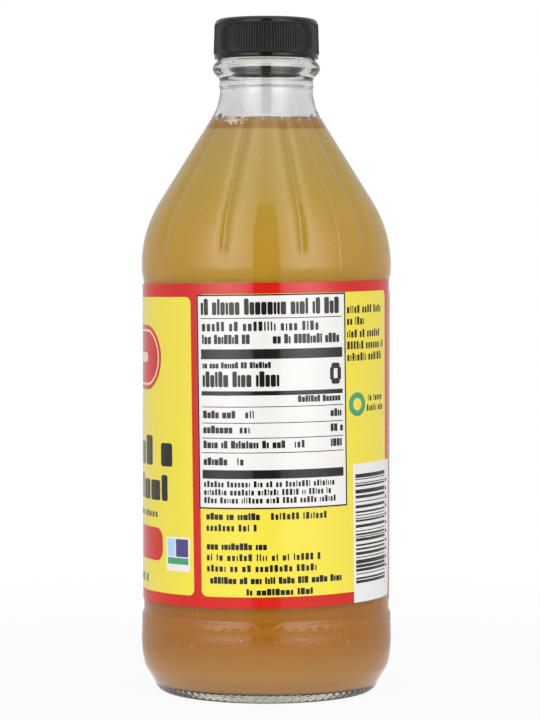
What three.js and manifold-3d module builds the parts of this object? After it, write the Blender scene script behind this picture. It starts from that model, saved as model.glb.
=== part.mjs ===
// A 473 ml round glass vinegar bottle: hollow glass, the vinegar in it, a ribbed screw cap and a wrap label.
// Millimetres, +Z up, origin at the middle of the foot ring, the side with the facts table towards -Y.
import * as THREE from "three";
import { mergeVertices } from "three/addons/utils/BufferGeometryUtils.js";
import Module from "manifold-3d";

// Foot: a flat bearing ring round a shallow push-up, and a conical heel above it.
const RING_INNER_R = 26.2;
const RING_OUTER_R = 29.2;
const PUSH_UP_Z = 2.4;
const PUSH_UP_SHOULDER_R = 19.6;
const RING_CORNER = { r: 30.2, z: 0 };
const HEEL_BOTTOM = { r: 30.6, z: 0.6 };
const HEEL_TOP = { r: 33.9, z: 6.1 };
const KNEE_CORNER = { r: 34.65, z: 7.4 };
const KNEE = { r: 34.75, z: 9.2 };

// Body: two contact bands stand proud of the panel that takes the label.
const BAND_R = 35.35;
const LOWER_BAND_Z = 17;
const LOWER_BAND_ROUNDING = 4;
const LOWER_BAND_TOP = { r: 35.15, z: 23.4 };
const PANEL_R = 34.7;
const PANEL_BOTTOM_Z = 24.1;
const PANEL_TOP_Z = 116.5;
const UPPER_BAND_BOTTOM = { r: 35.07, z: 117 };
const UPPER_BAND_R = 35.22;
const UPPER_BAND_Z = 120.5;

// Shoulder: a straight cone, rounded into the body below and into the neck above.
const CONE_BOTTOM = { r: 30.04, z: 138.16 };
const CONE_TOP = { r: 15.59, z: 161.41 };
const CONE_SLOPE = (CONE_BOTTOM.r - CONE_TOP.r) / (CONE_TOP.z - CONE_BOTTOM.z);

// Ten upright grooves pressed into the shoulder.
const GROOVES = 10;
const GROOVE_ANGLE = THREE.MathUtils.degToRad(16.5);
const GROOVE_DEPTH = 0.75;
const GROOVE_HALF_WIDTH = 3.1;
const GROOVE_FOOT_Z = { end: 121.5, full: 128 };
const GROOVE_HEAD_Z = { full: 157, end: 164 };
const LOBE_COLUMNS = [0, 3, 9.5, 18, 26.5, 33].map(THREE.MathUtils.degToRad);

// Neck, the bead below the cap, and the plain finish inside it.
const NECK_R = 13.13;
const NECK_BOTTOM_Z = 169.5;
const BEAD_FOOT_Z = 171.2;
const BEAD_FILLET = { r: 13.23, z: 172.9 };
const BEAD_UNDERSIDE = { r: 14.33, z: 173.9 };
const BEAD_R = 15.25;
const BEAD_Z = 175.5;
const BEAD_ROUNDING = 0.85;
const BEAD_TOP = { r: 13.9, z: 177.55 };
const FINISH_R = 13.2;
const FINISH_BOTTOM_Z = 177.9;
const LIP_Z = 187.2;
const LIP_ROUNDING = { r: 0.6, z: 0.8 };

// Inside of the glass.
const WALL_ALONG_CONE = 2.72;
const BODY_INNER_R = 32.62;
const FLOOR_EDGE = { r: 24, z: 3.1 };
const FLOOR_CENTRE_Z = 5.2;
const FLOOR_SLOPE_R = 14.4;
const INNER_HEEL_TOP_Z = 13;
const INNER_SHOULDER_Z = 120;
const BORE_R = 11.2;
const BORE_BOTTOM_Z = 168;

// Vinegar: clear of the glass all round, with its edge drawn up the wall.
const LIQUID_GAP = 0.3;
const FILL_Z = 159.7;
const MENISCUS_RISE = 1.3;
const MENISCUS_WIDTH = 2.2;
const LIQUID_COLUMNS = 44;

// Cap: a hollow moulding with fine upright ribs between two smooth bands.
const CAP_BOTTOM = { r: 14.45, z: 178 };
const CAP_BAND = { r: 14.88, z: 179.3 };
const RIB_BOTTOM = { r: 15, z: 179.55 };
const RIB_TOP = { r: 14.74, z: 187.4 };
const CAP_CROWN = { r: 14.6, z: 187.7 };
const CAP_TOP = { r: 12.6, z: 189.4 };
const CAP_INNER_R = 13.75;
const CAP_CUT_FROM_Z = 177;
const CAP_CEILING_Z = 187.7;
const RIBS = 124;
const RIB_DEPTH = 0.3;
const CAVITY_COLUMNS = 62;

// Label: one strip wrapped round the panel, a little askew, with a bare gap where its ends stop short.
const LABEL_INNER_R = 34.82;
const LABEL_THICKNESS = 0.18;
const LABEL_BOTTOM_Z = 27.15;
const LABEL_TOP_Z = 115.3;
const LABEL_START = THREE.MathUtils.degToRad(-267);
const LABEL_END = THREE.MathUtils.degToRad(77);
const LABEL_SKEW = Math.tan(THREE.MathUtils.degToRad(0.85));
const LABEL_CORNER_R = 1.8;
const LABEL_COLUMNS = 58;
const CORNER_COLUMNS = 4;

const wasm = await Module();
wasm.setup();

// A profile is a list of radius and height points. It grows by straight runs and by bends round a corner.
function point({ r, z }) {
  return new THREE.Vector2(r, z);
}

function run(profile, ...ends) {
  profile.push(...ends.map(point));
}

function bend(profile, corner, end, steps) {
  const curve = new THREE.QuadraticBezierCurve(profile.at(-1), point(corner), point(end));
  profile.push(...curve.getPoints(steps).slice(1));
}

// Even column angles round the axis, measured from -Y towards +X.
function evenColumns(count) {
  return Array.from({ length: count }, (_, i) => (i * 2 * Math.PI) / count);
}

// Turns a profile round the Z axis on the given column angles, with relief taken off each point's radius.
function turn(profile, angles, relief = () => 0) {
  const geometry = new THREE.LatheGeometry(profile, angles.length);
  const position = geometry.attributes.position;
  for (let i = 0; i < position.count; i++) {
    const row = i % profile.length;
    const column = Math.floor(i / profile.length) % angles.length;
    const angle = angles[column];
    const radius = profile[row].x - relief(profile[row], row, column, angle);
    position.setXYZ(i, radius * Math.sin(angle), -radius * Math.cos(angle), profile[row].y);
  }
  return geometry;
}

// Where the shoulder's straight line, moved inwards by a wall, meets a radius or a height.
function coneHeight(r, wall = 0) {
  return CONE_BOTTOM.z + (CONE_BOTTOM.r - wall - r) / CONE_SLOPE;
}

function coneRadius(z, wall = 0) {
  return CONE_BOTTOM.r - wall - (z - CONE_BOTTOM.z) * CONE_SLOPE;
}

// The outside of the glass, from the middle of the push-up to the top of the lip.
function outerProfile() {
  const band = { r: BAND_R, z: LOWER_BAND_Z };
  const bead = { r: BEAD_R, z: BEAD_Z };
  const profile = [];
  run(profile, { r: 0, z: PUSH_UP_Z });
  bend(profile, { r: PUSH_UP_SHOULDER_R, z: PUSH_UP_Z }, { r: RING_INNER_R, z: 0 }, 3);
  run(profile, { r: RING_OUTER_R, z: 0 });
  bend(profile, RING_CORNER, HEEL_BOTTOM, 2);
  run(profile, HEEL_TOP);
  bend(profile, KNEE_CORNER, KNEE, 2);
  bend(profile, { r: BAND_R, z: LOWER_BAND_Z - LOWER_BAND_ROUNDING }, band, 2);
  bend(profile, { r: BAND_R, z: LOWER_BAND_Z + LOWER_BAND_ROUNDING }, LOWER_BAND_TOP, 2);
  run(profile, { r: PANEL_R, z: PANEL_BOTTOM_Z }, { r: PANEL_R, z: PANEL_TOP_Z });
  run(profile, UPPER_BAND_BOTTOM, { r: UPPER_BAND_R, z: UPPER_BAND_Z });
  bend(profile, { r: UPPER_BAND_R, z: coneHeight(UPPER_BAND_R) }, CONE_BOTTOM, 6);
  run(profile, { r: coneRadius(GROOVE_HEAD_Z.full), z: GROOVE_HEAD_Z.full }, CONE_TOP);
  bend(profile, { r: NECK_R, z: coneHeight(NECK_R) }, { r: NECK_R, z: NECK_BOTTOM_Z }, 4);
  run(profile, { r: NECK_R, z: BEAD_FOOT_Z });
  bend(profile, BEAD_FILLET, BEAD_UNDERSIDE, 2);
  bend(profile, { r: BEAD_R, z: BEAD_Z - BEAD_ROUNDING }, bead, 2);
  bend(profile, { r: BEAD_R, z: BEAD_Z + BEAD_ROUNDING }, BEAD_TOP, 2);
  run(profile, { r: FINISH_R, z: FINISH_BOTTOM_Z }, { r: FINISH_R, z: LIP_Z - LIP_ROUNDING.z });
  run(profile, { r: FINISH_R - LIP_ROUNDING.r, z: LIP_Z });
  return profile;
}

// The inside of the glass, from the middle of its floor up to the neck, drawn in by a gap.
function cavityProfile(gap, top) {
  const profile = [];
  const drawnIn = WALL_ALONG_CONE + gap;
  const wall = { r: BODY_INNER_R - gap, z: INNER_HEEL_TOP_Z };
  const floorZ = FLOOR_EDGE.z + gap;
  const coneFoot = { r: coneRadius(CONE_BOTTOM.z, drawnIn), z: CONE_BOTTOM.z };
  run(profile, { r: 0, z: FLOOR_CENTRE_Z + gap });
  bend(profile, { r: FLOOR_SLOPE_R, z: floorZ }, { r: FLOOR_EDGE.r, z: floorZ }, 2);
  bend(profile, { r: wall.r, z: floorZ }, wall, 4);
  run(profile, { r: wall.r, z: INNER_SHOULDER_Z });
  bend(profile, { r: wall.r, z: coneHeight(wall.r, drawnIn) }, coneFoot, 5);
  run(profile, { r: coneRadius(top, drawnIn), z: top });
  return profile;
}

// The shoulder's grooves, soft across and faded out at head and foot.
function grooveRelief(r, z, angle) {
  const pitch = (2 * Math.PI) / GROOVES;
  const turned = THREE.MathUtils.euclideanModulo(angle - GROOVE_ANGLE + pitch / 2, pitch) - pitch / 2;
  const across = (r * turned) / GROOVE_HALF_WIDTH;
  const foot = THREE.MathUtils.smoothstep(z, GROOVE_FOOT_Z.end, GROOVE_FOOT_Z.full);
  const head = 1 - THREE.MathUtils.smoothstep(z, GROOVE_HEAD_Z.full, GROOVE_HEAD_Z.end);
  return GROOVE_DEPTH * foot * head * Math.exp(-across * across);
}

function glassGeometry() {
  const outer = outerProfile();
  const inner = cavityProfile(0, CONE_TOP.z);
  const corner = { r: BORE_R, z: coneHeight(BORE_R, WALL_ALONG_CONE) };
  bend(inner, corner, { r: BORE_R, z: BORE_BOTTOM_Z }, 3);
  run(inner, { r: BORE_R, z: LIP_Z - LIP_ROUNDING.z }, { r: BORE_R + LIP_ROUNDING.r, z: LIP_Z });
  const lobes = evenColumns(GROOVES).map((a) => a + GROOVE_ANGLE);
  const angles = lobes.flatMap((a) => LOBE_COLUMNS.map((c) => a + c));
  const relief = (p, row, column, angle) => (row < outer.length ? grooveRelief(p.x, p.y, angle) : 0);
  return turn([...outer, ...inner.reverse()], angles, relief);
}

function vinegarGeometry() {
  const edge = FILL_Z + MENISCUS_RISE;
  const profile = cavityProfile(LIQUID_GAP, edge);
  const flat = { r: profile.at(-1).x - MENISCUS_WIDTH, z: FILL_Z };
  bend(profile, { r: flat.r + MENISCUS_WIDTH / 2, z: FILL_Z }, flat, 3);
  run(profile, { r: 0, z: FILL_Z });
  return turn(profile, evenColumns(LIQUID_COLUMNS));
}

// A closed geometry as a solid that can be cut.
function solid(geometry) {
  const bare = geometry.clone();
  bare.deleteAttribute("normal");
  bare.deleteAttribute("uv");
  const merged = mergeVertices(bare);
  const vertProperties = merged.attributes.position.array;
  const triVerts = new Uint32Array(merged.index.array);
  return new wasm.Manifold(new wasm.Mesh({ numProp: 3, vertProperties, triVerts }));
}

function geometryOf(cut) {
  const mesh = cut.getMesh();
  const geometry = new THREE.BufferGeometry();
  geometry.setAttribute("position", new THREE.BufferAttribute(mesh.vertProperties, 3));
  geometry.setIndex(new THREE.BufferAttribute(mesh.triVerts, 1));
  geometry.computeVertexNormals();
  return geometry;
}

// Every second column of the two ribbed rows stands back, which leaves one rib for each pair of columns.
function capGeometry() {
  const profile = [];
  run(profile, { r: 0, z: CAP_BOTTOM.z }, CAP_BOTTOM, CAP_BAND, RIB_BOTTOM, RIB_TOP, CAP_CROWN);
  bend(profile, { r: CAP_CROWN.r, z: CAP_TOP.z }, CAP_TOP, 3);
  run(profile, { r: 0, z: CAP_TOP.z });
  const ribbed = (p) => p.y >= RIB_BOTTOM.z && p.y <= RIB_TOP.z;
  const relief = (p, row, column) => (ribbed(p) && column % 2 ? RIB_DEPTH : 0);
  const shell = solid(turn(profile, evenColumns(2 * RIBS), relief));
  const cavity = [];
  run(cavity, { r: 0, z: CAP_CUT_FROM_Z }, { r: CAP_INNER_R, z: CAP_CUT_FROM_Z });
  run(cavity, { r: CAP_INNER_R, z: CAP_CEILING_Z }, { r: 0, z: CAP_CEILING_Z });
  return geometryOf(shell.subtract(solid(turn(cavity, evenColumns(CAVITY_COLUMNS)))));
}

// Distances along the label of its columns: a few close ones round each corner, even ones between.
function labelColumns(length) {
  const quarters = Array.from({ length: CORNER_COLUMNS }, (_, i) => i / CORNER_COLUMNS);
  const corner = quarters.map((q) => LABEL_CORNER_R * (1 - Math.cos((q * Math.PI) / 2)));
  const middle = LABEL_COLUMNS - 2 * CORNER_COLUMNS;
  const span = length - 2 * LABEL_CORNER_R;
  const even = Array.from({ length: middle + 1 }, (_, i) => LABEL_CORNER_R + (i * span) / middle);
  return [...corner, ...even, ...corner.map((d) => length - d).reverse()];
}

// A flat strip with rounded corners, bent round the panel.
function labelGeometry() {
  const length = LABEL_INNER_R * (LABEL_END - LABEL_START);
  const middleZ = (LABEL_TOP_Z + LABEL_BOTTOM_Z) / 2;
  const halfHeight = (LABEL_TOP_Z - LABEL_BOTTOM_Z) / 2;
  const along = labelColumns(length);
  const strip = new THREE.BoxGeometry(LABEL_COLUMNS, 2, 1, LABEL_COLUMNS, 1, 1);
  const position = strip.attributes.position;
  for (let i = 0; i < position.count; i++) {
    const d = along[Math.round(position.getX(i) + LABEL_COLUMNS / 2)];
    const angle = LABEL_START + d / LABEL_INNER_R;
    const toEnd = Math.min(d, length - d, LABEL_CORNER_R);
    const cut = LABEL_CORNER_R - Math.sqrt(LABEL_CORNER_R ** 2 - (LABEL_CORNER_R - toEnd) ** 2);
    const radius = LABEL_INNER_R + (position.getZ(i) + 0.5) * LABEL_THICKNESS;
    const z = middleZ + position.getY(i) * (halfHeight - cut) + LABEL_INNER_R * angle * LABEL_SKEW;
    position.setXYZ(i, radius * Math.sin(angle), -radius * Math.cos(angle), z);
  }
  return strip;
}

function finish(color, roughness, opacity = 1) {
  return new THREE.MeshStandardMaterial({ color, roughness, metalness: 0, transparent: opacity < 1, opacity });
}

const bottle = new THREE.Group();
const pieces = [
  ["bottle_glass", glassGeometry(), finish(0xe4ebe4, 0.05, 0.35)],
  ["vinegar", vinegarGeometry(), finish(0xc08a3c, 0.1)],
  ["cap", capGeometry(), finish(0x242426, 0.4)],
  ["label", labelGeometry(), finish(0xf3d94a, 0.3)],
];
for (const [name, geometry, material] of pieces) {
  const mesh = new THREE.Mesh(geometry, material);
  mesh.name = name;
  bottle.add(mesh);
}

export default bottle;
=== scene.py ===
"""A round glass bottle of cloudy vinegar with a ribbed black cap and a red and yellow wrap label."""
import math

import bmesh
import bpy
import numpy as np
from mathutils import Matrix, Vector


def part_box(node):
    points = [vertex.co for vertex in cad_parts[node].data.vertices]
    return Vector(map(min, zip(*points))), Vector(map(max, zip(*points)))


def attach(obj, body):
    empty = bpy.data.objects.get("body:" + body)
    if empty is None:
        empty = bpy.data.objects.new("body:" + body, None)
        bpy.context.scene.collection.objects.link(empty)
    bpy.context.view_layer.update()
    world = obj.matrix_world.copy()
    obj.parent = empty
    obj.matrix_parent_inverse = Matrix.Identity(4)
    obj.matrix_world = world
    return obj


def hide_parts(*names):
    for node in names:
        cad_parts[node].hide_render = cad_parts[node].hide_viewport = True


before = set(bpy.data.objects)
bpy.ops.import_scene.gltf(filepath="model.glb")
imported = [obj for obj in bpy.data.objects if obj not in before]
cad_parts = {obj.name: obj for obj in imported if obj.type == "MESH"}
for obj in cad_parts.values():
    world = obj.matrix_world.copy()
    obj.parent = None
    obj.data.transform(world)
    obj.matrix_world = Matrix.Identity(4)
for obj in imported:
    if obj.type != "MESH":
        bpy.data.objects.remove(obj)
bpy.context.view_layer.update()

# Bottle: clear soda-lime glass blown in a two-part mould, hollow and in one piece.
# It has a knurled foot ring, a conical heel, two contact bands beside the label panel, a shoulder with
# ten pressed grooves, a neck and a bead. The mould leaves a fine seam on two opposite sides.
MM = 0.001
LIP_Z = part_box("bottle_glass")[1].z / MM
RING_INNER_R, RING_OUTER_R = 26.2, 29.2
PUSH_UP_Z, PUSH_UP_BEND_R, FOOT_BEND_R = 2.4, 19.6, 30.2
HEEL_BOTTOM, KNURL_TOP, HEEL_TOP = (30.6, 0.6), (31.71, 2.45), (34.05, 6.35)
KNEE_CORNER, KNEE = (34.5, 7.1), (34.68, 8.1)
BAND_R, BAND_SWELL_Z, LOWER_BAND_Z = 35.35, 11.0, 15.0
BULGE_SIDE, BULGE_TOP, LOWER_BAND_TOP = (35.28, 18.4), (35.23, 20.6), (35.2, 21.3)
BULGE_BENDS_Z, STEP_BENDS_Z = (16.9, 19.7), (21.9, 22.65)
PANEL_STEP, SHORT_ROW = (34.98, 22.25), 0.2
PANEL_R, PANEL_BOTTOM_Z, PANEL_TOP_Z = 34.7, 23.2, 115.9
UPPER_STEP_BEND, UPPER_BAND_BOTTOM = (34.82, 116.4), (35.1, 117.7)
UPPER_BAND, UPPER_BAND_BEND_Z = (35.22, 120.5), 119.0
CONE_BOTTOM, CONE_TOP = (30.04, 138.16), (15.59, 161.41)
CONE_SLOPE = (CONE_BOTTOM[0] - CONE_TOP[0]) / (CONE_TOP[1] - CONE_BOTTOM[1])
NECK_R, NECK_BOTTOM_Z = 13.13, 169.5
NECK_RING_R, NECK_RING_Z, NECK_RING_ROUNDING = 13.32, (169.9, 170.6, 171.3), 0.1
BEAD_FOOT_Z, BEAD_FOOT_BEND, BEAD_UNDERSIDE = 171.6, (13.23, 172.9), (14.4, 173.8)
BEAD, BEAD_ROUNDING, BEAD_TOP = (15.15, 175.5), 0.85, (13.9, 177.55)
FINISH_R, FINISH_BOTTOM_Z, FINISH_ROUNDING = 13.2, 177.9, 0.2
LIP_ROUNDING, BORE_ROUNDING = 0.8, 0.6
WALL_ALONG_CONE = 2.72
BODY_INNER_R = 32.62
FLOOR_EDGE, FLOOR_BEND_R, FLOOR_CENTRE_Z = (24.0, 3.1), 14.4, 5.2
INNER_HEEL_TOP_Z, INNER_SHOULDER_Z = 13.0, 120.0
BORE_R, BORE_BOTTOM_Z = 11.2, 168.0

GROOVES, GROOVE_ANGLE = 10, math.radians(16.5)
GROOVE_DEPTH, GROOVE_HALF_WIDTH = 0.72, 3.2
GROOVE_FOOT_Z, GROOVE_HEAD_Z = (121.3, 125.5), (158.0, 165.0)
SEAM_ANGLE, SEAM_HEIGHT, SEAM_HALF_WIDTH = math.radians(35.5), 0.12, 0.22
SEAM_FOOT_Z, SEAM_HEAD_Z = (8, 12), (164, 168)
SEAM_SPREAD = np.radians((0.0, 0.15, 0.3, 0.5, 0.8))
FLOW_MARK_HEIGHT, FLOW_MARK_Z, FLOW_WAVES = 0.06, (21.9, 0.6), (41, 23, 67)
KNURLS, KNURL_HEIGHT, KNURL_Z, KNURL_CURL = 84, 0.2, (1.45, 1.0), 1.9
RIPPLE_HEIGHT, RIPPLE_SCALE = 0.03, 900.0
GLASS_TINT, TINT_DENSITY = (0.80, 0.84, 0.66, 1), 16.0
GLASS_COLUMNS = 5 * KNURLS


def straight(profile, end, steps=1):
    """Carries a profile of radius and height points on to an end, in a straight line."""
    start = profile[-1]
    for i in range(1, steps + 1):
        t = i / steps
        profile.append(tuple(a + (b - a) * t for a, b in zip(start, end)))


def bent(profile, corner, end, steps):
    """Carries a profile on round a corner to an end, as a quadratic curve."""
    start = profile[-1]
    for i in range(1, steps + 1):
        t = i / steps
        weights = ((1 - t) ** 2, 2 * t * (1 - t), t * t)
        profile.append(tuple(sum(w * p[k] for w, p in zip(weights, (start, corner, end))) for k in (0, 1)))


def cone_height(r, wall=0.0):
    return CONE_BOTTOM[1] + (CONE_BOTTOM[0] - wall - r) / CONE_SLOPE


def cone_radius(z, wall=0.0):
    return CONE_BOTTOM[0] - wall - (z - CONE_BOTTOM[1]) * CONE_SLOPE


def outer_profile():
    """The outside of the glass, from the middle of the push-up to the top of the lip."""
    profile = [(0.0, PUSH_UP_Z)]
    bent(profile, (PUSH_UP_BEND_R, PUSH_UP_Z), (RING_INNER_R, 0.0), 10)
    straight(profile, (RING_OUTER_R, 0.0), 2)
    bent(profile, (FOOT_BEND_R, 0.0), HEEL_BOTTOM, 5)
    straight(profile, KNURL_TOP, 7)
    straight(profile, HEEL_TOP, 2)
    bent(profile, KNEE_CORNER, KNEE, 6)
    bent(profile, (BAND_R, BAND_SWELL_Z), (BAND_R, LOWER_BAND_Z), 8)
    bent(profile, (BAND_R, BULGE_BENDS_Z[0]), BULGE_SIDE, 6)
    bent(profile, (BULGE_TOP[0], BULGE_BENDS_Z[1]), BULGE_TOP, 6)
    straight(profile, LOWER_BAND_TOP)
    bent(profile, (LOWER_BAND_TOP[0], STEP_BENDS_Z[0]), PANEL_STEP, 5)
    bent(profile, (PANEL_R, STEP_BENDS_Z[1]), (PANEL_R, PANEL_BOTTOM_Z), 6)
    straight(profile, (PANEL_R, PANEL_BOTTOM_Z + SHORT_ROW))
    straight(profile, (PANEL_R, PANEL_TOP_Z - SHORT_ROW), 4)
    straight(profile, (PANEL_R, PANEL_TOP_Z))
    bent(profile, UPPER_STEP_BEND, UPPER_BAND_BOTTOM, 6)
    bent(profile, (UPPER_BAND[0], UPPER_BAND_BEND_Z), UPPER_BAND, 4)
    bent(profile, (UPPER_BAND[0], cone_height(UPPER_BAND[0])), CONE_BOTTOM, 24)
    straight(profile, CONE_TOP, 9)
    bent(profile, (NECK_R, cone_height(NECK_R)), (NECK_R, NECK_BOTTOM_Z), 12)
    straight(profile, (NECK_R, NECK_RING_Z[0]))
    bent(profile, (NECK_RING_R, NECK_RING_Z[0] + NECK_RING_ROUNDING), (NECK_RING_R, NECK_RING_Z[1]), 4)
    bent(profile, (NECK_RING_R, NECK_RING_Z[2] - NECK_RING_ROUNDING), (NECK_R, NECK_RING_Z[2]), 4)
    straight(profile, (NECK_R, BEAD_FOOT_Z))
    bent(profile, BEAD_FOOT_BEND, BEAD_UNDERSIDE, 7)
    bent(profile, (BEAD[0], BEAD[1] - BEAD_ROUNDING), BEAD, 6)
    bent(profile, (BEAD[0], BEAD[1] + BEAD_ROUNDING), BEAD_TOP, 7)
    finish_foot = (FINISH_R, FINISH_BOTTOM_Z + FINISH_ROUNDING)
    bent(profile, (FINISH_R, FINISH_BOTTOM_Z - FINISH_ROUNDING), finish_foot, 3)
    straight(profile, (FINISH_R, LIP_Z - LIP_ROUNDING))
    bent(profile, (FINISH_R, LIP_Z), (FINISH_R - LIP_ROUNDING, LIP_Z), 4)
    return profile


def cavity_profile(gap, top_z):
    """The inside of the glass, from the middle of its floor up the shoulder, drawn in by a gap."""
    drawn_in = WALL_ALONG_CONE + gap
    wall_r, floor_z = BODY_INNER_R - gap, FLOOR_EDGE[1] + gap
    profile = [(0.0, FLOOR_CENTRE_Z + gap)]
    bent(profile, (FLOOR_BEND_R, floor_z), (FLOOR_EDGE[0], floor_z), 6)
    bent(profile, (wall_r, floor_z), (wall_r, INNER_HEEL_TOP_Z), 12)
    straight(profile, (wall_r, INNER_SHOULDER_Z), 3)
    cone_foot = (cone_radius(CONE_BOTTOM[1], drawn_in), CONE_BOTTOM[1])
    bent(profile, (wall_r, cone_height(wall_r, drawn_in)), cone_foot, 14)
    straight(profile, (cone_radius(top_z, drawn_in), top_z), 6)
    return profile


def faded(z, limits):
    """A soft step from 0 at the first limit to 1 at the second."""
    t = np.clip((z - limits[0]) / (limits[1] - limits[0]), 0, 1)
    return t * t * (3 - 2 * t)


def arc_offset(angle, first, count):
    """The turn from each angle to the nearest of a count of marks spaced evenly round the bottle."""
    pitch = 2 * math.pi / count
    return (angle - first + pitch / 2) % pitch - pitch / 2


def glass_relief(r, z, angle):
    """How far grooves cut in, less how far the seam, flow marks and knurls stand out, in mm."""
    across = np.clip(1 - np.abs(r * arc_offset(angle, GROOVE_ANGLE, GROOVES)) / GROOVE_HALF_WIDTH, 0, 1)
    groove = GROOVE_DEPTH * faded(z, GROOVE_FOOT_Z) * (1 - faded(z, GROOVE_HEAD_Z)) * across**2
    seam_across = r * arc_offset(angle, SEAM_ANGLE, 2) / SEAM_HALF_WIDTH
    seam = SEAM_HEIGHT * np.exp(-seam_across**2) * faded(z, SEAM_FOOT_Z) * (1 - faded(z, SEAM_HEAD_Z))
    slow_waves = np.sin(FLOW_WAVES[0] * angle + 2 * z) * np.sin(FLOW_WAVES[1] * angle + 1)
    waves = slow_waves + 0.5 * np.sin(FLOW_WAVES[2] * angle - 3 * z)
    flow_mark = FLOW_MARK_HEIGHT * waves * np.exp(-(((z - FLOW_MARK_Z[0]) / FLOW_MARK_Z[1]) ** 2))
    up = (z - KNURL_Z[0]) / KNURL_Z[1]
    curled = 0.5 + 0.5 * np.cos(KNURLS * angle + KNURL_CURL * up**2)
    knurl = KNURL_HEIGHT * curled * np.clip(1 - up**2, 0, 1) * (r > RING_OUTER_R)
    return groove - seam - flow_mark - knurl


def turned(name, profile, angles, relief=None):
    """An object turned round the Z axis from a profile in mm, with relief taken off the radius."""
    r, z = np.array(profile).T[:, :, None]
    radius = r - (relief(r, z, angles[None, :]) if relief else 0) + 0 * angles[None, :]
    points = np.stack((radius * np.sin(angles), -radius * np.cos(angles), z + 0 * radius), axis=-1)
    rows, columns = radius.shape
    grid = np.arange(rows * columns).reshape(rows, columns)
    beside = np.roll(grid, -1, axis=1)
    quads = np.stack((grid[:-1], beside[:-1], beside[1:], grid[1:]), axis=-1).reshape(-1, 4)
    mesh = bpy.data.meshes.new(name)
    mesh.from_pydata((points.reshape(-1, 3) * MM).tolist(), [], quads.tolist())
    return shown(name, mesh)


def shown(name, mesh, crease=None):
    """Welds a mesh's doubled points, smooths it but for sharp creases, and puts it in the scene."""
    work = bmesh.new()
    work.from_mesh(mesh)
    bmesh.ops.remove_doubles(work, verts=work.verts, dist=1e-7)
    work.to_mesh(mesh)
    work.free()
    mesh.shade_smooth()
    if crease:
        mesh.set_sharp_from_angle(angle=crease)
    piece = bpy.data.objects.new(name, mesh)
    bpy.context.scene.collection.objects.link(piece)
    return piece


class Value:
    """A value that varies over a surface. It wraps a socket, and arithmetic on it adds Math nodes."""

    def __init__(self, nodes, socket):
        self.nodes, self.socket = nodes, socket

    def math(self, operation, *others, **settings):
        inputs = dict(enumerate((self, *others)))
        made = self.nodes.node("ShaderNodeMath", {"operation": operation, **settings}, inputs)
        return Value(self.nodes, made.outputs[0])

    def __add__(self, other):
        return self.math("ADD", other)

    __radd__ = __add__

    def __mul__(self, other):
        return self.math("MULTIPLY", other)

    __rmul__ = __mul__

    def __sub__(self, other):
        return self.math("SUBTRACT", other)

    def __rsub__(self, other):
        return self.math("MULTIPLY_ADD", -1.0, other)

    def __truediv__(self, other):
        return self.math("DIVIDE", other)

    def __neg__(self):
        return self.math("MULTIPLY", -1.0)

    def __abs__(self):
        return self.math("ABSOLUTE")

    def soft(self, edge, width):
        """A step from 0 to 1 about an edge, over a width."""
        return (self - edge).math("MULTIPLY_ADD", 1 / width, 0.5, use_clamp=True)


class Nodes:
    """The node tree of a material or of the world, with one method that adds any node."""

    def __init__(self, tree):
        self.tree = tree
        tree.nodes.clear()

    def node(self, kind, settings=None, inputs=None):
        made = self.tree.nodes.new(kind)
        for key, setting in (settings or {}).items():
            if key == "stops":
                self.set_stops(made.color_ramp, setting)
            else:
                setattr(made, key, setting)
        for key, value in (inputs or {}).items():
            self.feed(made.inputs[key], value)
        return made

    def feed(self, socket, value):
        if isinstance(value, Value):
            value = value.socket
        if isinstance(value, bpy.types.NodeSocket):
            self.tree.links.new(value, socket)
        else:
            socket.default_value = value

    @staticmethod
    def set_stops(ramp, stops):
        while len(ramp.elements) < len(stops):
            ramp.elements.new(0.5)
        for element, (place, colour) in zip(ramp.elements, stops):
            element.position, element.color = place, (*colour, 1.0)

    def value(self, made, output=0):
        return Value(self, made.outputs[output])

    def mix(self, factor, a, b):
        """One colour over another by a factor."""
        made = self.node("ShaderNodeMix", {"data_type": "RGBA"}, {0: factor, 6: a, 7: b})
        return made.outputs[2]

    def noise(self, vector, scale, detail=2.0):
        inputs = {"Vector": vector, "Scale": scale, "Detail": detail}
        return self.value(self.node("ShaderNodeTexNoise", None, inputs))

    def place(self):
        """The point on the surface in the bottle's frame, in metres."""
        return self.node("ShaderNodeTexCoord").outputs["Object"]

    def bump(self, height, distance, strength=1.0):
        inputs = {"Height": height, "Distance": distance, "Strength": strength}
        return self.node("ShaderNodeBump", None, inputs).outputs[0]

    def surface(self, **inputs):
        """Ends the tree in a Principled shader. Socket names are written with _ for each space."""
        named = {key.replace("_", " "): value for key, value in inputs.items()}
        shader = self.node("ShaderNodeBsdfPrincipled", None, named)
        end = self.node("ShaderNodeOutputMaterial", None, {"Surface": shader.outputs[0]})
        return end


def finish(name):
    """A new material and its nodes."""
    material = bpy.data.materials.new(name)
    material.use_nodes = True
    return material, Nodes(material.node_tree)


def clear_glass():
    """Glass with a faint green cast where it is thick, and a slight ripple all over."""
    material, nodes = finish("clear_glass")
    ripple = nodes.noise(nodes.place(), RIPPLE_SCALE)
    end = nodes.surface(Base_Color=(1, 1, 1, 1), Roughness=0.0, IOR=1.52, Transmission_Weight=1.0,
                        Normal=nodes.bump(ripple, RIPPLE_HEIGHT * MM))
    tint = nodes.node("ShaderNodeVolumeAbsorption", None, {"Color": GLASS_TINT, "Density": TINT_DENSITY})
    nodes.feed(end.inputs["Volume"], tint.outputs[0])
    return material


def outside_relief(r, z, angle):
    """The relief of the outside. The inside of the glass is plain."""
    return outside * glass_relief(r, z, angle)


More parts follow.
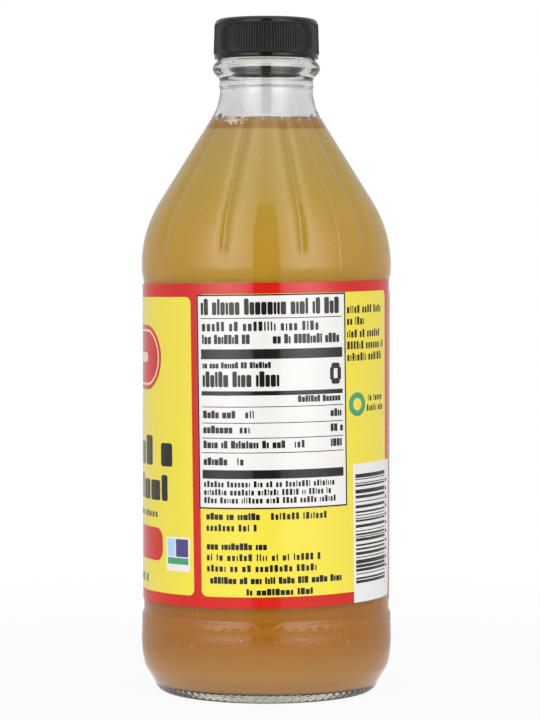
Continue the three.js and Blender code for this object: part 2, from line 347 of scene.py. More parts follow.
outer = outer_profile()
inner = cavity_profile(0.0, CONE_TOP[1])
bent(inner, (BORE_R, cone_height(BORE_R, WALL_ALONG_CONE)), (BORE_R, BORE_BOTTOM_Z), 8)
straight(inner, (BORE_R, LIP_Z - BORE_ROUNDING))
bent(inner, (BORE_R, LIP_Z), (BORE_R + BORE_ROUNDING, LIP_Z), 4)
outside = np.arange(len(outer) + len(inner))[:, None] < len(outer)
even = np.arange(GLASS_COLUMNS) * 2 * math.pi / GLASS_COLUMNS
beside_seam = np.concatenate((-SEAM_SPREAD, SEAM_SPREAD))
seams = np.concatenate([SEAM_ANGLE + half + beside_seam for half in (0, math.pi)])
glass_angles = np.unique(np.round(np.concatenate((even, seams)) % (2 * math.pi), 6))
glass = turned("glass_body", outer + inner[::-1], glass_angles, outside_relief)
glass.data.materials.append(clear_glass())
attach(glass, "root")
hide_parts("bottle_glass")

# Vinegar: cloudy, unfiltered and golden. Its colour by height is its own tone with painted light and shade
# over it:
# paler high in the narrow shoulder, where more light passes, lighter just below and above the label, and
# browner towards the floor, where the label keeps light out. It fills the glass up to the foot of the neck,
# so it reaches just into the wall, and its edge creeps up the glass, where a darker brown band is painted.
FILL_Z, MENISCUS_TOP_Z = 159.7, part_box("vinegar")[1].z / MM
MENISCUS_WIDTH = 2.2
INTO_WALL = 0.06
FLOOR_LIFT, FLOOR_R = 0.2, 26.0
VINEGAR_TOP_M = MENISCUS_TOP_Z * MM
VINEGAR_COLOUR_AND_PAINTED_LIGHT = (
    # The dark stop at the foot is painted shade: the far edge of the drink seen through the base, where
    # little light reaches.
    (3.3, (0.09, 0.045, 0.018)),
    (3.8, (0.34, 0.128, 0.036)),
    (8.0, (0.36, 0.138, 0.029)),
    (18.0, (0.33, 0.098, 0.008)),
    # The stops from 22.5 to 27.0 are raised as painted light, against the shadow of the label's lower edge
    # on the drink.
    (22.5, (0.36, 0.102, 0.007)),
    (27.0, (0.43, 0.124, 0.005)),
    # The stops at 112.0 and 121.0 are raised as painted light, where the lamps fall beside the label's top.
    (112.0, (0.54, 0.218, 0.015)),
    (121.0, (0.54, 0.235, 0.018)),
    (130.0, (0.46, 0.218, 0.020)),
    (141.0, (0.39, 0.214, 0.021)),
    (157.3, (0.37, 0.215, 0.044)),
    (158.0, (0.26, 0.088, 0.008)),
    (158.8, (0.28, 0.110, 0.016)),
    (161.0, (0.38, 0.200, 0.055)),
)
LOST_ON_WAY, TURNED_BACK = 0.364, 0.6
CLOUD_STRETCH, CLOUD_SCALE, CLOUD_SHIFT = (1, 1, 2.6), 34.0, 0.006
VINEGAR_COLUMNS = 240


def under_glass(shown_colour):
    """The colour of a drink that shows as another through the wall, which turns much of its light back."""
    return tuple(c / (LOST_ON_WAY + TURNED_BACK * c) for c in shown_colour)


def cloudy_vinegar():
    """A turbid drink: its colour changes with height, partly as painted light and shade, with faint clouds
    drifting through it.
    """
    material, nodes = finish("cloudy_vinegar")
    place = nodes.place()
    height = nodes.value(nodes.node("ShaderNodeSeparateXYZ", None, {0: place}), 2)
    stretched = nodes.node("ShaderNodeVectorMath", {"operation": "MULTIPLY"}, {0: place, 1: CLOUD_STRETCH})
    clouds = nodes.noise(stretched.outputs[0], CLOUD_SCALE, 3.0) - 0.5
    share = height / VINEGAR_TOP_M + clouds * CLOUD_SHIFT
    stops = [(z / MENISCUS_TOP_Z, under_glass(colour)) for z, colour in VINEGAR_COLOUR_AND_PAINTED_LIGHT]
    colour = nodes.node("ShaderNodeValToRGB", {"stops": stops}, {0: share}).outputs[0]
    nodes.surface(Base_Color=colour, Roughness=0.35, Specular_IOR_Level=0.0)
    return material


def lifted(r, z):
    """A point of the drink's outline, raised a little off the floor of the glass inside the foot ring."""
    on_floor = r < FLOOR_R and z < INNER_HEEL_TOP_Z
    return r, z + FLOOR_LIFT * on_floor


wall_profile = cavity_profile(-INTO_WALL, MENISCUS_TOP_Z)
fill_profile = [lifted(*point) for point in wall_profile]
flat_r = fill_profile[-1][0] - MENISCUS_WIDTH
bent(fill_profile, (flat_r + MENISCUS_WIDTH / 2, FILL_Z), (flat_r, FILL_Z), 8)
straight(fill_profile, (0.0, FILL_Z), 4)
fill_angles = np.arange(VINEGAR_COLUMNS) * 2 * math.pi / VINEGAR_COLUMNS
vinegar = turned("vinegar_fill", fill_profile, fill_angles)
vinegar.data.materials.append(cloudy_vinegar())
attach(vinegar, "root")
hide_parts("vinegar")

# Bubbles: froth along the edge of the drink, and small single ones that cling to the inside of the wall.
# A thicker clot of froth hangs to the left of the table of facts. All reach a little into the wall.
BUBBLE_SEED = 5
FROTH_COUNT, FROTH_R, FROTH_Z = 150, (0.16, 0.42), (160.0, 161.1)
CLOT_COUNT, CLOT_TURN, CLOT_SPREAD = 32, math.radians(-38), math.radians(5.5)
CLOT_R, CLOT_Z = (0.25, 0.8), (158.9, 160.9)
CLINGING_COUNT, CLINGING_R, CLINGING_Z = 110, (0.1, 0.26), ((13.5, 26.0), (119.0, 157.5))
SUNK_SHARE = 0.5
BALL_RINGS, BALL_SEGMENTS, BALL_FLATNESS = 8, 14, 0.75
# The froth's white is painted highlight; its brown lies between the highlights.
FILM_BROWN, FILM_PAINTED_HIGHLIGHT = (0.62, 0.36, 0.15, 1), (0.97, 0.94, 0.86, 1)
FILM_SCALE, FILM_EDGE = 1100.0, (0.45, 0.12)


def ball_mesh(name, centres, sizes):
    """Many small balls, a little flattened, as one mesh. Centres and sizes are in mm."""
    down = np.linspace(0, math.pi, BALL_RINGS + 1)[:, None]
    turn = np.arange(BALL_SEGMENTS)[None, :] * 2 * math.pi / BALL_SEGMENTS
    x, y = np.sin(down) * np.cos(turn), np.sin(down) * np.sin(turn)
    ball = np.stack((x, y, BALL_FLATNESS * np.cos(down) + 0 * turn), axis=-1)
    grid = np.arange((BALL_RINGS + 1) * BALL_SEGMENTS).reshape(BALL_RINGS + 1, -1)
    beside = np.roll(grid, -1, axis=1)
    quads = np.stack((grid[:-1], grid[1:], beside[1:], beside[:-1]), axis=-1).reshape(-1, 4)
    points = centres[:, None, :] + sizes[:, None, None] * ball.reshape(1, -1, 3)
    shifts = np.arange(len(centres))[:, None, None] * grid.size
    faces = (quads[None] + shifts).reshape(-1, 4)
    mesh = bpy.data.meshes.new(name)
    mesh.from_pydata((points.reshape(-1, 3) * MM).tolist(), [], faces.tolist())
    return mesh


def on_wall(turns, z, sizes):
    """Centres of balls that reach a little into the inside of the wall, at given turns and heights."""
    wall_r, wall_z = np.array([point for point in wall_profile if point[1] > FLOOR_EDGE[1]]).T
    r = np.interp(z, wall_z, wall_r) - INTO_WALL - SUNK_SHARE * sizes
    return np.stack((r * np.sin(turns), -r * np.cos(turns), z), axis=-1)


def froth_mesh():
    draw = np.random.default_rng(BUBBLE_SEED)
    turns = (draw.uniform(0, 2 * math.pi, FROTH_COUNT), draw.normal(CLOT_TURN, CLOT_SPREAD, CLOT_COUNT))
    sizes = (draw.uniform(*FROTH_R, FROTH_COUNT), draw.uniform(*CLOT_R, CLOT_COUNT))
    heights = (draw.uniform(*FROTH_Z, FROTH_COUNT), draw.uniform(*CLOT_Z, CLOT_COUNT))
    turns, sizes, heights = (np.concatenate(pair) for pair in (turns, sizes, heights))
    return ball_mesh("froth", on_wall(turns, heights, sizes), sizes)


def clinging_mesh():
    draw = np.random.default_rng(BUBBLE_SEED + 1)
    heights = np.concatenate([draw.uniform(*limits, CLINGING_COUNT // 2) for limits in CLINGING_Z])
    turns = draw.uniform(0, 2 * math.pi, CLINGING_COUNT)
    sizes = draw.uniform(*CLINGING_R, CLINGING_COUNT)
    return ball_mesh("clinging_bubbles", on_wall(turns, heights, 0 * sizes), sizes)


def bubble_film():
    """Pale froth, with white patches painted as highlights where a film catches the light, and brown
    between.
    """
    material, nodes = finish("bubble_film")
    highlight_patches = nodes.noise(nodes.place(), FILM_SCALE).soft(*FILM_EDGE)
    colour = nodes.mix(highlight_patches, FILM_BROWN, FILM_PAINTED_HIGHLIGHT)
    nodes.surface(Base_Color=colour, Roughness=0.2)
    return material


film = bubble_film()
for mesh in (froth_mesh(), clinging_mesh()):
    bubbles = shown(mesh.name, mesh)
    bubbles.data.materials.append(film)
    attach(bubbles, "root")

# Cap: a moulded black screw cap with fine upright ribs for grip, between a smooth crown and a smooth rim.
# It is satin plastic, a little scuffed along the crown, and it hides the plain lip of the bottle.
CAP_BOTTOM_Z, CAP_TOP_Z = (corner.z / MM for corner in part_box("cap"))
CAP_RIM_R, CAP_BAND = 14.58, (14.68, 179.3)
RIB_BOTTOM, RIB_TOP = (14.88, 179.55), (14.66, 187.5)
CAP_CROWN, CAP_TOP_R = (14.55, 187.85), 12.5
CAP_INNER_R, CAP_CEILING_Z = 13.75, 187.7
RIBS, RIB_COLUMNS, RIB_DEPTH, VALLEY_SHARPNESS = 124, 8, 0.4, 1.5
CEILING_CORNER, RIM_CORNER, RIM_FLAT, RIM_TOP = 0.4, 0.15, 0.2, (0.06, 0.25)
RIB_RUN_IN, RIB_RUN_OUT = 0.1, 0.15
CAP_BLACK, SCUFF_GREY = (0.006, 0.006, 0.0065, 1), (0.16, 0.16, 0.16, 1)
SCUFF_SCALE, SCUFF_EDGE, SCUFF_DEPTH = 420.0, (0.65, 0.04), (0.9, 0.5)
GRAIN_SCALE, GRAIN_HEIGHT = 2600.0, 0.000012


def cap_profile():
    """Round the cap's section, from the middle of its ceiling out over the rim and up to its top."""
    profile = [(0.0, CAP_CEILING_Z), (CAP_INNER_R - CEILING_CORNER, CAP_CEILING_Z)]
    bent(profile, (CAP_INNER_R, CAP_CEILING_Z), (CAP_INNER_R, CAP_CEILING_Z - CEILING_CORNER), 3)
    straight(profile, (CAP_INNER_R, CAP_BOTTOM_Z + RIM_CORNER), 2)
    bent(profile, (CAP_INNER_R, CAP_BOTTOM_Z), (CAP_INNER_R + RIM_CORNER, CAP_BOTTOM_Z), 3)
    straight(profile, (CAP_RIM_R - RIM_FLAT, CAP_BOTTOM_Z))
    bent(profile, (CAP_RIM_R, CAP_BOTTOM_Z), (CAP_RIM_R + RIM_TOP[0], CAP_BOTTOM_Z + RIM_TOP[1]), 4)
    straight(profile, CAP_BAND, 4)
    bent(profile, (RIB_BOTTOM[0], CAP_BAND[1] + 0.1), RIB_BOTTOM, 3)
    straight(profile, RIB_TOP, 6)
    bent(profile, (RIB_TOP[0] - 0.05, CAP_CROWN[1] - 0.1), CAP_CROWN, 3)
    bent(profile, (CAP_CROWN[0] - 0.2, CAP_TOP_Z - 0.08), (CAP_TOP_R, CAP_TOP_Z), 12)
    straight(profile, (0.0, CAP_TOP_Z), 3)
    return profile


def rib_relief(r, z, angle):
    """Rounded ribs with narrow valleys, which end short of the two smooth bands."""
    valley = (0.5 - 0.5 * np.cos(RIBS * angle)) ** VALLEY_SHARPNESS
    above_band = faded(z, (CAP_BAND[1], RIB_BOTTOM[1] + RIB_RUN_IN))
    below_crown = 1 - faded(z, (RIB_TOP[1] - RIB_RUN_OUT, CAP_CROWN[1]))
    on_outside = r > (CAP_INNER_R + CAP_RIM_R) / 2
    return RIB_DEPTH * valley * above_band * below_crown * on_outside


def black_plastic():
    """Black polypropylene with a satin face, a fine moulded grain and a few pale scuffs on the crown."""
    material, nodes = finish("black_plastic")
    place = nodes.place()
    height = nodes.value(nodes.node("ShaderNodeSeparateXYZ", None, {0: place}), 2)
    crown = height.soft((CAP_TOP_Z - SCUFF_DEPTH[0]) * MM, SCUFF_DEPTH[1] * MM)
    scuffs = nodes.noise(place, SCUFF_SCALE, 4.0).soft(*SCUFF_EDGE) * crown
    grain = nodes.noise(place, GRAIN_SCALE)
    colour = nodes.mix(scuffs, CAP_BLACK, SCUFF_GREY)
    roughness = grain * 0.06 + 0.06 + scuffs * 0.2
    uneven = nodes.bump(grain, GRAIN_HEIGHT)
    nodes.surface(Base_Color=colour, Roughness=roughness, Specular_IOR_Level=0.33, Normal=uneven)
    return material


cap_angles = np.arange(RIBS * RIB_COLUMNS) * 2 * math.pi / (RIBS * RIB_COLUMNS)
cap = turned("screw_cap", cap_profile(), cap_angles, rib_relief)
cap.data.materials.append(black_plastic())
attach(cap, "root")
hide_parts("cap")

# Label: glossy printed paper, one strip wrapped round the panel a little askew and glued down.
# The print is red with yellow panels: a white table of facts, a block of bars, and a plain front design.
# Small blocks stand for the words.
LABEL_INNER_R, LABEL_R = 34.82, 35.0
LABEL_BOTTOM_Z, LABEL_HEIGHT = 27.15, 88.15
LABEL_FOOT, LABEL_HEAD = -0.25, 88.5
LABEL_START, LABEL_END = math.radians(-267), math.radians(77)
LABEL_LENGTH = LABEL_R * (LABEL_END - LABEL_START)
LABEL_SKEW = math.tan(math.radians(0.85))
LABEL_CORNER_R, PAPER_CREASE = 1.8, math.radians(40)
LABEL_COLUMNS, LABEL_ROWS, CORNER_COLUMNS = 260, 12, 8
PRINT_MAP, UNROLLED_MAP = "print_mm", "OFBake"
BACK_SHIFT, EDGE_STRIP = 0.46, (0.92, 0.94)

PRINT_RED, PRINT_YELLOW = (0.60, 0.012, 0.006, 1), (0.83, 0.70, 0.062, 1)
PRINT_WHITE = (0.80, 0.79, 0.77, 1)
PRINT_BLACK, PRINT_THIN_BLACK = (0.008, 0.0075, 0.0065, 1), (0.014, 0.013, 0.011, 1)
PRINT_GREEN, PRINT_CREAM = (0.06, 0.33, 0.15, 1), (0.82, 0.72, 0.42, 1)
PRINT_SKY, PRINT_VIOLET = (0.45, 0.63, 0.85, 1), (0.08, 0.06, 0.22, 1)
EDGE_BLUR = 0.07

# Places on the print are (left, right, bottom, top) in mm, some with a corner or a line and a corner.
# Lines of blocks are (left, right, base, height, pitch).
TABLE = (-19.5, 23.8, 26.95, 85.4)
BARS = (27.0, 43.0, 5.0, 35.3)
PANEL_CORNER_R, TABLE_CORNER_R = 1.7, 0.2
YELLOW_PANELS = ((-93.8, -21.6, 2.9, 84.8), (-19.1, 43.5, 2.9, 85.5), (-159.6, -96.2, 2.9, 84.8))
BAR_BLOCK, SMALL_FIELD = (26.1, 47.5, -1.0, 38.1, 0.6), (-32.2, -22.9, 9.3, 18.7, 0.4)
SMALL_SKY, SMALL_VIOLET = (-31.6, -28.4, 13.3, 18.2), (-28.1, -23.5, 13.3, 18.2)
SMALL_GREEN, GREEN_RING = (-31.6, -23.5, 11.2, 13.0), (24.8, 31.4, 51.2, 57.8, 1.6, 3.3)
LOZENGE, LOZENGE_BAR = (-82.0, -34.0, 59.0, 77.0, 9.0), (-73.0, -43.0, 66.6, 69.4, 1.3)
LOZENGE_LINE, RED_FIELD = (-80.8, -35.2, 60.2, 75.8, 0.6, 7.8), (-88.0, -34.0, 11.6, 20.8, 3.2)
PAPER_WAVE_SCALE, PAPER_WAVE_HEIGHT = 70.0, 0.00002
TABLE_BARS = ((67.8, 70.5), (57.9, 59.1), (35.2, 37.6))
TABLE_RULES = (78.9, 54.8, 50.4, 46.3, 42.3)
HEAVY_LINES = (
    (-18.2, 22.6, 79.8, 4.5, 1.5),
    (-17.9, -3.9, 71.9, 2.6, 1.1),
    (2.2, 22.8, 71.9, 2.6, 1.1),
    (-17.9, 2.0, 65.3, 1.7, 0.9),
    (-17.9, 5.4, 60.2, 4.3, 1.45),
    (8.9, 22.9, 55.9, 1.8, 0.95),
    (-17.9, -7.0, 51.7, 2.1, 1.2),
    (18.5, 22.8, 51.7, 2.1, 1.1),
    (-17.9, -8.6, 47.6, 2.1, 1.2),
    (18.5, 22.8, 47.6, 2.1, 1.1),
    (-17.9, 6.4, 43.5, 2.1, 1.2),
    (18.5, 22.8, 43.5, 2.1, 1.1),
    (-17.9, -9.4, 38.9, 2.1, 1.2),
    (-17.3, -1.0, 24.0, 1.9, 1.25),
    (-17.3, 0.2, 15.8, 1.9, 1.2),
    (-16.4, 22.3, 6.5, 1.9, 1.13),
    (-6.0, 13.5, 3.4, 1.8, 1.4),
    (-91.5, -25.0, 38.0, 8.3, 6.1),
    (-82.0, -30.5, 28.4, 7.2, 5.7),
    (-90.0, -70.0, 5.2, 2.4, 1.7),
    (-152.0, -106.0, 74.0, 4.0, 2.7),
)
FINE_LINES = (
    (-17.9, 17.6, 75.4, 2.6, 1.37),
    (-5.6, -2.6, 51.7, 2.1, 1.2),
    (-7.2, -3.4, 47.6, 2.1, 1.2),
    (7.8, 11.6, 43.5, 2.1, 1.2),
    (-8.0, -4.2, 38.9, 2.1, 1.2),
    (-17.9, 20.2, 32.9, 1.7, 0.98),
    (-17.9, 19.2, 30.7, 1.7, 0.98),
    (-17.9, 20.8, 28.5, 1.7, 0.98),
    (1.0, 18.6, 24.0, 1.9, 1.2),
    (-17.3, -2.0, 20.9, 1.9, 1.2),
    (-17.3, 16.0, 12.8, 1.9, 1.25),
    (-17.3, 14.6, 9.8, 1.9, 1.25),
    (24.4, 40.6, 79.6, 2.2, 1.15),
    (24.4, 33.0, 76.4, 2.2, 1.15),
    (24.4, 39.6, 72.9, 2.2, 1.15),
    (24.4, 42.4, 69.7, 2.2, 1.15),
    (24.4, 41.6, 66.5, 2.2, 1.15),
    (33.0, 41.6, 55.2, 1.8, 1.1),
    (32.2, 41.6, 52.4, 1.8, 1.1),
    (-74.0, -36.0, 23.6, 2.0, 1.35),
    (-66.0, -42.0, 5.2, 2.4, 1.5),
)


def label_columns():
    """Distances along the label: a few close ones round each corner, even ones between."""
    quarter = np.arange(CORNER_COLUMNS) / CORNER_COLUMNS * math.pi / 2
    corner = LABEL_CORNER_R * (1 - np.cos(quarter))
    middle = np.linspace(LABEL_CORNER_R, LABEL_LENGTH - LABEL_CORNER_R, LABEL_COLUMNS)
    return np.concatenate((corner, middle, (LABEL_LENGTH - corner)[::-1]))


def label_sheet():
    """The strip's face unrolled: distances along it and up it in mm, one row for each column of points."""
    along = label_columns()[:, None]
    to_end = np.minimum(np.minimum(along, LABEL_LENGTH - along), LABEL_CORNER_R)
    cut = LABEL_CORNER_R - np.sqrt(LABEL_CORNER_R**2 - (LABEL_CORNER_R - to_end) ** 2)
    share = np.linspace(0, 1, LABEL_ROWS)[None, :]
    up = LABEL_FOOT + cut + share * (LABEL_HEAD - LABEL_FOOT - 2 * cut)
    return along + 0 * up, up


def label_mesh():
    """The strip as a thin closed shell, with a map of places on the print and one of the unrolled paper."""
    along, up = label_sheet()
    angle = LABEL_START + along / LABEL_R
    z = LABEL_BOTTOM_Z + up + LABEL_R * angle * LABEL_SKEW
    across, out = np.sin(angle), -np.cos(angle)
    points = [np.stack((r * across, r * out, z), axis=-1) for r in (LABEL_R, LABEL_INNER_R)]
    face = np.arange(along.size).reshape(along.shape)
    back = face + face.size
    rim = np.concatenate((face[:, 0], face[-1, 1:], face[-2::-1, -1], face[0, -2:0:-1]))
    rim_next = np.roll(rim, -1)
    quads = np.concatenate((
        np.stack((face[:-1, :-1], face[1:, :-1], face[1:, 1:], face[:-1, 1:]), axis=-1).reshape(-1, 4),
        np.stack((back[:-1, :-1], back[:-1, 1:], back[1:, 1:], back[1:, :-1]), axis=-1).reshape(-1, 4),
        np.stack((rim_next, rim, rim + face.size, rim_next + face.size), axis=-1),
    ))
    mesh = bpy.data.meshes.new("wrap_label")
    mesh.from_pydata((np.concatenate([p.reshape(-1, 3) for p in points]) * MM).tolist(), [], quads.tolist())
    place = np.stack((LABEL_R * angle, up), axis=-1).reshape(-1, 2)
    add_map(mesh, PRINT_MAP, np.tile(place, (2, 1))[quads])
    front = np.stack((along, up - LABEL_FOOT), axis=-1).reshape(-1, 2) / LABEL_LENGTH
    unrolled = np.concatenate((front, front + (0, BACK_SHIFT)))[quads]
    step = np.arange(len(rim))[:, None] / len(rim)
    unrolled[-len(rim):, :, 0] = step + np.array((1, 0, 0, 1)) / len(rim)
    unrolled[-len(rim):, :, 1] = np.repeat(EDGE_STRIP, 2)
    add_map(mesh, UNROLLED_MAP, unrolled)
    return mesh


def add_map(mesh, name, places):
    mesh.uv_layers.new(name=name).data.foreach_set("uv", places.astype(np.float32).ravel())


class Print:
    """Masks over the label's face, from the place on it: u along the strip and v up it, in mm."""

    def __init__(self, nodes):
        placed = nodes.node("ShaderNodeUVMap", {"uv_map": PRINT_MAP})
        split = nodes.node("ShaderNodeSeparateXYZ", None, {0: placed.outputs[0]})
        self.v = nodes.value(split, 1)
        self.u = nodes.value(split, 0) + (self.v - LABEL_HEIGHT / 2) * LABEL_SKEW

    def box(self, left, right, bottom, top, corner=0.06):
        """A rectangle with round corners."""
        beside = (abs(self.u - (left + right) / 2) - ((right - left) / 2 - corner)).math("MAXIMUM", 0.0)
        above = (abs(self.v - (bottom + top) / 2) - ((top - bottom) / 2 - corner)).math("MAXIMUM", 0.0)
        return 1 - (beside * beside + above * above).math("SQRT").soft(corner, EDGE_BLUR)

    def outline(self, left, right, bottom, top, line, corner):
        """A line just inside the edge of a rectangle with round corners."""
        inside = self.box(left + line, right - line, bottom + line, top - line, corner - line)
        return self.box(left, right, bottom, top, corner) * (1 - inside)


def joined(masks):
    whole = masks[0]
    for mask in masks[1:]:
        whole = whole.math("MAXIMUM", mask)
    return whole


def glossy_print():
    """Printed paper under a gloss varnish, with the faint waviness of a glued strip."""
    material, nodes = finish("glossy_print")
    sheet = Print(nodes)
    yellow = joined([sheet.box(*panel, PANEL_CORNER_R) for panel in YELLOW_PANELS])
    colour = nodes.mix(yellow, PRINT_RED, PRINT_YELLOW)
    white = joined([sheet.box(*TABLE, TABLE_CORNER_R), sheet.box(*BAR_BLOCK), sheet.box(*SMALL_FIELD)])
    colour = nodes.mix(white, colour, PRINT_WHITE)
    red = joined([sheet.box(*LOZENGE), sheet.box(*RED_FIELD)])
    colour = nodes.mix(red, colour, PRINT_RED)
    cream = joined([sheet.outline(*LOZENGE_LINE), sheet.box(*LOZENGE_BAR)])
    colour = nodes.mix(cream, colour, PRINT_CREAM)
    green = joined([sheet.outline(*GREEN_RING), sheet.box(*SMALL_GREEN)])
    colour = nodes.mix(green, colour, PRINT_GREEN)
    colour = nodes.mix(sheet.box(*SMALL_SKY), colour, PRINT_SKY)
    colour = nodes.mix(sheet.box(*SMALL_VIOLET), colour, PRINT_VIOLET)
    wave = nodes.noise(nodes.place(), PAPER_WAVE_SCALE)
    nodes.surface(Base_Color=colour, Roughness=0.11, Normal=nodes.bump(wave, PAPER_WAVE_HEIGHT))
    return material


label = shown("wrap_label", label_mesh(), PAPER_CREASE)
label.data.materials.append(glossy_print())
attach(label, "root")
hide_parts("label")

# Black print: a film of ink on the label, with the table's frame, bars and rules and the scanner's bars.
# Each line of words is a row of small blocks with round corners, so that nothing is spelt out.
INK_R, INK_FOOT_R = LABEL_R + 0.015, LABEL_R - 0.03
INK_STEP, INK_CORNER_POINTS = 1.2, 4
INK_SEED = 11
PARAGRAPH_SIDES, PARAGRAPH_FOOT, PARAGRAPH_PITCH, PARAGRAPH_LINES = (-155.0, -101.0), 12.0, 3.4, 16
PARAGRAPH_LETTER = (1.9, 1.2)
DIGIT_SIDES, DIGIT_FOOT, DIGIT_PITCH, DIGITS = (43.5, 44.7), 8.0, 2.4, 11
DIGIT_HEIGHT, DIGIT_CORNER = 0.9, 0.2
BAR_PITCH, BAR_STEPS, GAP_STEPS, BAR_CORNER = 0.27, (1, 5), (1, 4), 0.03
ROUND_SIGN = (18.5, 22.1, 60.5, 66.3)
STEM_SHARE, STEM_CORNER, END_INSET, END_HEIGHT, END_CORNER = 0.33, 0.3, 0.35, 1.3, 0.6
TABLE_MARGIN, FRAME_LINE, RULE = 1.2, 0.42, 0.22
HEAVY, FINE, MOTTLE_SCALE = 0.86, 0.66, 900.0
LOW_LETTER, TALL_SHARE, LETTER_CORNER = 0.78, 0.4, 0.1
WORD_LETTERS, LETTER_WIDTHS, WORD_GAP = (2, 9), (0.65, 1.0, 1.0, 1.12), 0.7


def ink_columns(left, right, corner):
    """Distances along a block of ink: close ones round its corners, and even ones between."""
    turn = np.linspace(0, math.pi / 2, INK_CORNER_POINTS)
    ends = corner * (1 - np.cos(turn))
    middle = np.linspace(left + corner, right - corner, max(2, math.ceil((right - left) / INK_STEP)))
    return np.concatenate((left + ends[:-1], middle, (right - ends[:-1])[::-1]))


def ink_block(left, right, bottom, top, corner=0.05):
    """One block of ink as points on the label and quads: a closed thin strip bent round the bottle."""
    u = ink_columns(left, right, corner)
    to_end = np.minimum(np.minimum(u - left, right - u), corner)
    cut = corner - np.sqrt(np.maximum(corner**2 - (corner - to_end) ** 2, 0))
    points = []
    edges = [(r, v) for r in (INK_R, INK_FOOT_R) for v in (bottom + cut, top - cut)]
    for r, v in edges:
        along = u - (v - LABEL_HEIGHT / 2) * LABEL_SKEW
        angle = along / LABEL_R
        z = LABEL_BOTTOM_Z + v + along * LABEL_SKEW
        points.append(np.stack((r * np.sin(angle), -r * np.cos(angle), z), axis=-1))
    low, high, low_foot, high_foot = np.arange(4 * len(u)).reshape(4, -1)
    sides = ((low, high), (high, high_foot), (high_foot, low_foot), (low_foot, low))
    quads = [np.stack((a[:-1], a[1:], b[1:], b[:-1]), axis=-1) for a, b in sides]
    ends = [[side[i] for side in order] for i, order in (
        (0, (low, high, high_foot, low_foot)),
        (-1, (low, low_foot, high_foot, high)),
    )]
    quads.append(np.array(ends))
    return np.concatenate(points), np.concatenate(quads)


def word_blocks(draw, left, right, base, height, pitch, weight):
    """The blocks of a line of words: each stands for a letter, low or tall, slim or wide."""
    place = left
    while True:
        for _ in range(draw.integers(*WORD_LETTERS)):
            width = pitch * draw.choice(LETTER_WIDTHS)
            if place + width > right:
                return
            rise = height * (1.0 if draw.random() < TALL_SHARE else LOW_LETTER)
            yield place, place + width - pitch * (1 - weight), base, base + rise, height * LETTER_CORNER
            place += width
        place += pitch * WORD_GAP


def scanner_bars(draw, left, right, bottom, top):
    """Bars of random thickness and spacing, one above another."""
    place = bottom
    while place < top:
        thick = BAR_PITCH * draw.integers(*BAR_STEPS)
        yield left, right, place, min(place + thick, top), BAR_CORNER
        place += thick + BAR_PITCH * draw.integers(*GAP_STEPS)


def ring_blocks(left, right, bottom, top):
    """An upright ring made of two stems and two round ends."""
    stem = (right - left) * STEM_SHARE
    inset, end = stem * END_INSET, stem * END_HEIGHT
    for start in (left, right - stem):
        yield start, start + stem, bottom + stem, top - stem, stem * STEM_CORNER
    for low in (bottom, top - end):
        yield left + inset, right - inset, low, low + end, stem * END_CORNER


def black_blocks():
    """Every block of black ink on the label."""
    draw = np.random.default_rng(INK_SEED)
    left, right, bottom, top = TABLE
    yield left, left + FRAME_LINE, bottom, top
    yield right - FRAME_LINE, right, bottom, top
    yield left, right, bottom, bottom + FRAME_LINE
    yield left, right, top - FRAME_LINE, top
    yield from ring_blocks(*ROUND_SIGN)
    for low, high in TABLE_BARS:
        yield left + TABLE_MARGIN, right - TABLE_MARGIN, low, high
    for middle in TABLE_RULES:
        yield left + TABLE_MARGIN, right - TABLE_MARGIN, middle - RULE / 2, middle + RULE / 2
    for lines, weight in ((HEAVY_LINES, HEAVY), (FINE_LINES, FINE)):
        for line in lines:
            yield from word_blocks(draw, *line, weight)
    for i in range(PARAGRAPH_LINES):
        base = PARAGRAPH_FOOT + PARAGRAPH_PITCH * i
        yield from word_blocks(draw, *PARAGRAPH_SIDES, base, *PARAGRAPH_LETTER, FINE)
    for i in range(DIGITS):
        low = DIGIT_FOOT + DIGIT_PITCH * i
        yield *DIGIT_SIDES, low, low + DIGIT_HEIGHT, DIGIT_CORNER
    yield from scanner_bars(draw, *BARS)


def ink_mesh():
    """All blocks of ink as one mesh."""
    points, quads, count = [], [], 0
    for block in black_blocks():
        more_points, more_quads = ink_block(*block)
        points.append(more_points)
        quads.append(more_quads + count)
        count += len(more_points)
    mesh = bpy.data.meshes.new("label_ink")
    mesh.from_pydata((np.concatenate(points) * MM).tolist(), [], np.concatenate(quads).tolist())
    return mesh


def black_ink():
    """Dense black ink under the label's varnish, a little mottled where it is thin."""
    material, nodes = finish("black_ink")
    mottle = nodes.noise(nodes.place(), MOTTLE_SCALE)
    colour = nodes.mix(mottle, PRINT_BLACK, PRINT_THIN_BLACK)
    nodes.surface(Base_Color=colour, Roughness=0.11)
    return material


ink = shown("label_ink", ink_mesh(), PAPER_CREASE)
ink.data.materials.append(black_ink())
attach(ink, "root")

# Studio: a small white table with a soft edge, and a light tent with two tall soft lamps at the front.
# The tent has a dark upright slit between the lamps, where the camera looks in.
LAMP_TURN, LAMP_SPREAD, LAMP_GLOW = math.radians(37), math.radians(24), 3.1
LAMP_FOOT, LAMP_FOOT_BLUR = -0.072, 0.09
TENT_GLOW, CEILING_GLOW, CEILING_EDGE = 0.82, 0.45, (0.8, 0.3)
SLIT_TURN, SLIT_BLUR, SLIT_TOP, SLIT_GLOW = math.radians(12.6), math.radians(0.6), (0.87, 0.06), 0.12
TABLE_FADE, TABLE_WHITENING = (0.13, 0.3), 0.93
# The glow under the bottle is painted light over the bottle's shadow on the table.
PAINTED_GLOW_UNDER_BOTTLE, GLOW_FADE = 0.8, (0.04, 0.1)
TABLE_GREY, TABLE_Z = (0.55, 0.55, 0.55, 1), -0.0002


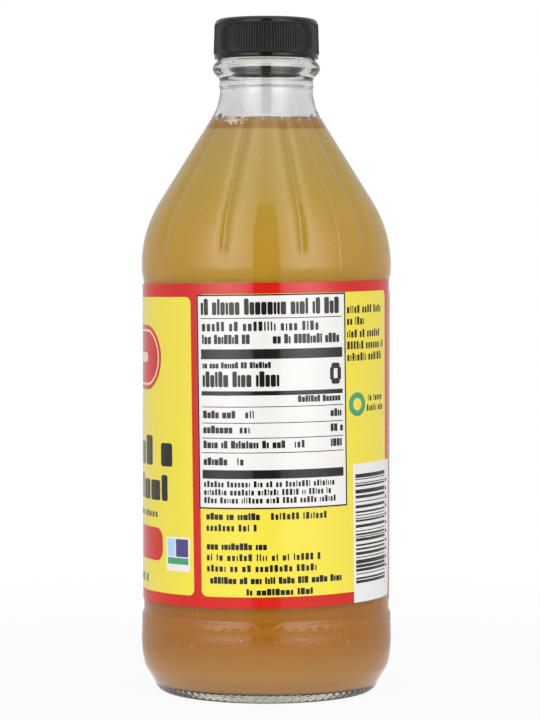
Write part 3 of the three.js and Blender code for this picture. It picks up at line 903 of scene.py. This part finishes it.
def light_tent():
    """The world's light by direction. The picture itself sees plain white."""
    world = bpy.data.worlds.new("light_tent")
    world.use_nodes = True
    nodes = Nodes(world.node_tree)
    direction = nodes.node("ShaderNodeTexCoord").outputs["Generated"]
    split = nodes.node("ShaderNodeSeparateXYZ", None, {0: direction})
    x, y, z = (nodes.value(split, i) for i in range(3))
    turn = abs(x).math("ARCTAN2", -y)
    off_lamp = (turn - LAMP_TURN) / LAMP_SPREAD
    level = (1 - z * z).math("SQRT") * z.soft(LAMP_FOOT, LAMP_FOOT_BLUR)
    lamps = (-(off_lamp * off_lamp)).math("EXPONENT") * level * LAMP_GLOW
    ceiling = z.soft(*CEILING_EDGE) * CEILING_GLOW
    slit = (1 - turn.soft(SLIT_TURN, SLIT_BLUR)) * (1 - z.soft(*SLIT_TOP))
    glow = (lamps + ceiling + TENT_GLOW) * (1 - slit) + slit * SLIT_GLOW
    tent = nodes.node("ShaderNodeBackground", None, {"Strength": glow})
    backdrop = nodes.node("ShaderNodeBackground", None, {"Color": (1, 1, 1, 1), "Strength": 1.0})
    seen = nodes.node("ShaderNodeLightPath").outputs["Is Camera Ray"]
    mixed = nodes.node("ShaderNodeMixShader", None, {0: seen, 1: tent.outputs[0], 2: backdrop.outputs[0]})
    nodes.node("ShaderNodeOutputWorld", None, {"Surface": mixed.outputs[0]})
    return world


def white_table():
    """A pale table top, whitened in the picture, with a soft edge, and a glowing patch under the bottle:
    painted light that hides the bottle's shadow and brightens its foot ring.
    """
    material, nodes = finish("white_table")
    away = nodes.value(nodes.node("ShaderNodeVectorMath", {"operation": "LENGTH"}, {0: nodes.place()}), 1)
    faded_out = away.soft(sum(TABLE_FADE) / 2, TABLE_FADE[1] - TABLE_FADE[0])
    # A glowing patch round the bottle's foot, painted light over its shadow.
    near = (1 - away.soft(sum(GLOW_FADE) / 2, GLOW_FADE[1] - GLOW_FADE[0])) * PAINTED_GLOW_UNDER_BOTTLE
    inputs = {"Base Color": TABLE_GREY, "Roughness": 0.9, "Specular IOR Level": 0.1}
    matt = nodes.node("ShaderNodeBsdfPrincipled", None, inputs).outputs[0]
    white = nodes.node("ShaderNodeEmission", None, {"Color": (1, 1, 1, 1)}).outputs[0]
    seen = nodes.value(nodes.node("ShaderNodeLightPath"), "Is Camera Ray") * TABLE_WHITENING
    top = nodes.node("ShaderNodeMixShader", None, {0: seen.math("MAXIMUM", near), 1: matt, 2: white})
    clear = nodes.node("ShaderNodeBsdfTransparent")
    mixed = nodes.node("ShaderNodeMixShader", None, {0: faded_out, 1: top.outputs[0], 2: clear.outputs[0]})
    nodes.node("ShaderNodeOutputMaterial", None, {"Surface": mixed.outputs[0]})
    return material


bpy.context.scene.world = light_tent()
bpy.context.scene.view_settings.view_transform = "Standard"
table_mesh = bpy.data.meshes.new("table")
half = TABLE_FADE[1]
corners = ((-half, -half), (half, -half), (half, half), (-half, half))
table_mesh.from_pydata([(x, y, TABLE_Z) for x, y in corners], [], [(0, 1, 2, 3)])
table = shown("table", table_mesh)
table.data.materials.append(white_table())

# Camera: a long lens a little above the middle of the bottle, tipped down slightly.
FOCAL_PIXELS, PICTURE_HEIGHT, SENSOR = 2858.0, 720.0, 36.0
CAMERA_PLACE, CAMERA_TIP = (0.00102, -0.809, 0.1269), 2.384
camera = bpy.data.objects.new("camera", bpy.data.cameras.new("camera"))
camera.data.sensor_fit = "VERTICAL"
camera.data.sensor_height = SENSOR
camera.data.lens = FOCAL_PIXELS / PICTURE_HEIGHT * SENSOR
camera.data.clip_start = 0.01
camera.location = CAMERA_PLACE
camera.rotation_euler = (math.radians(90 - CAMERA_TIP), 0, 0)
bpy.context.scene.collection.objects.link(camera)
bpy.context.scene.camera = camera
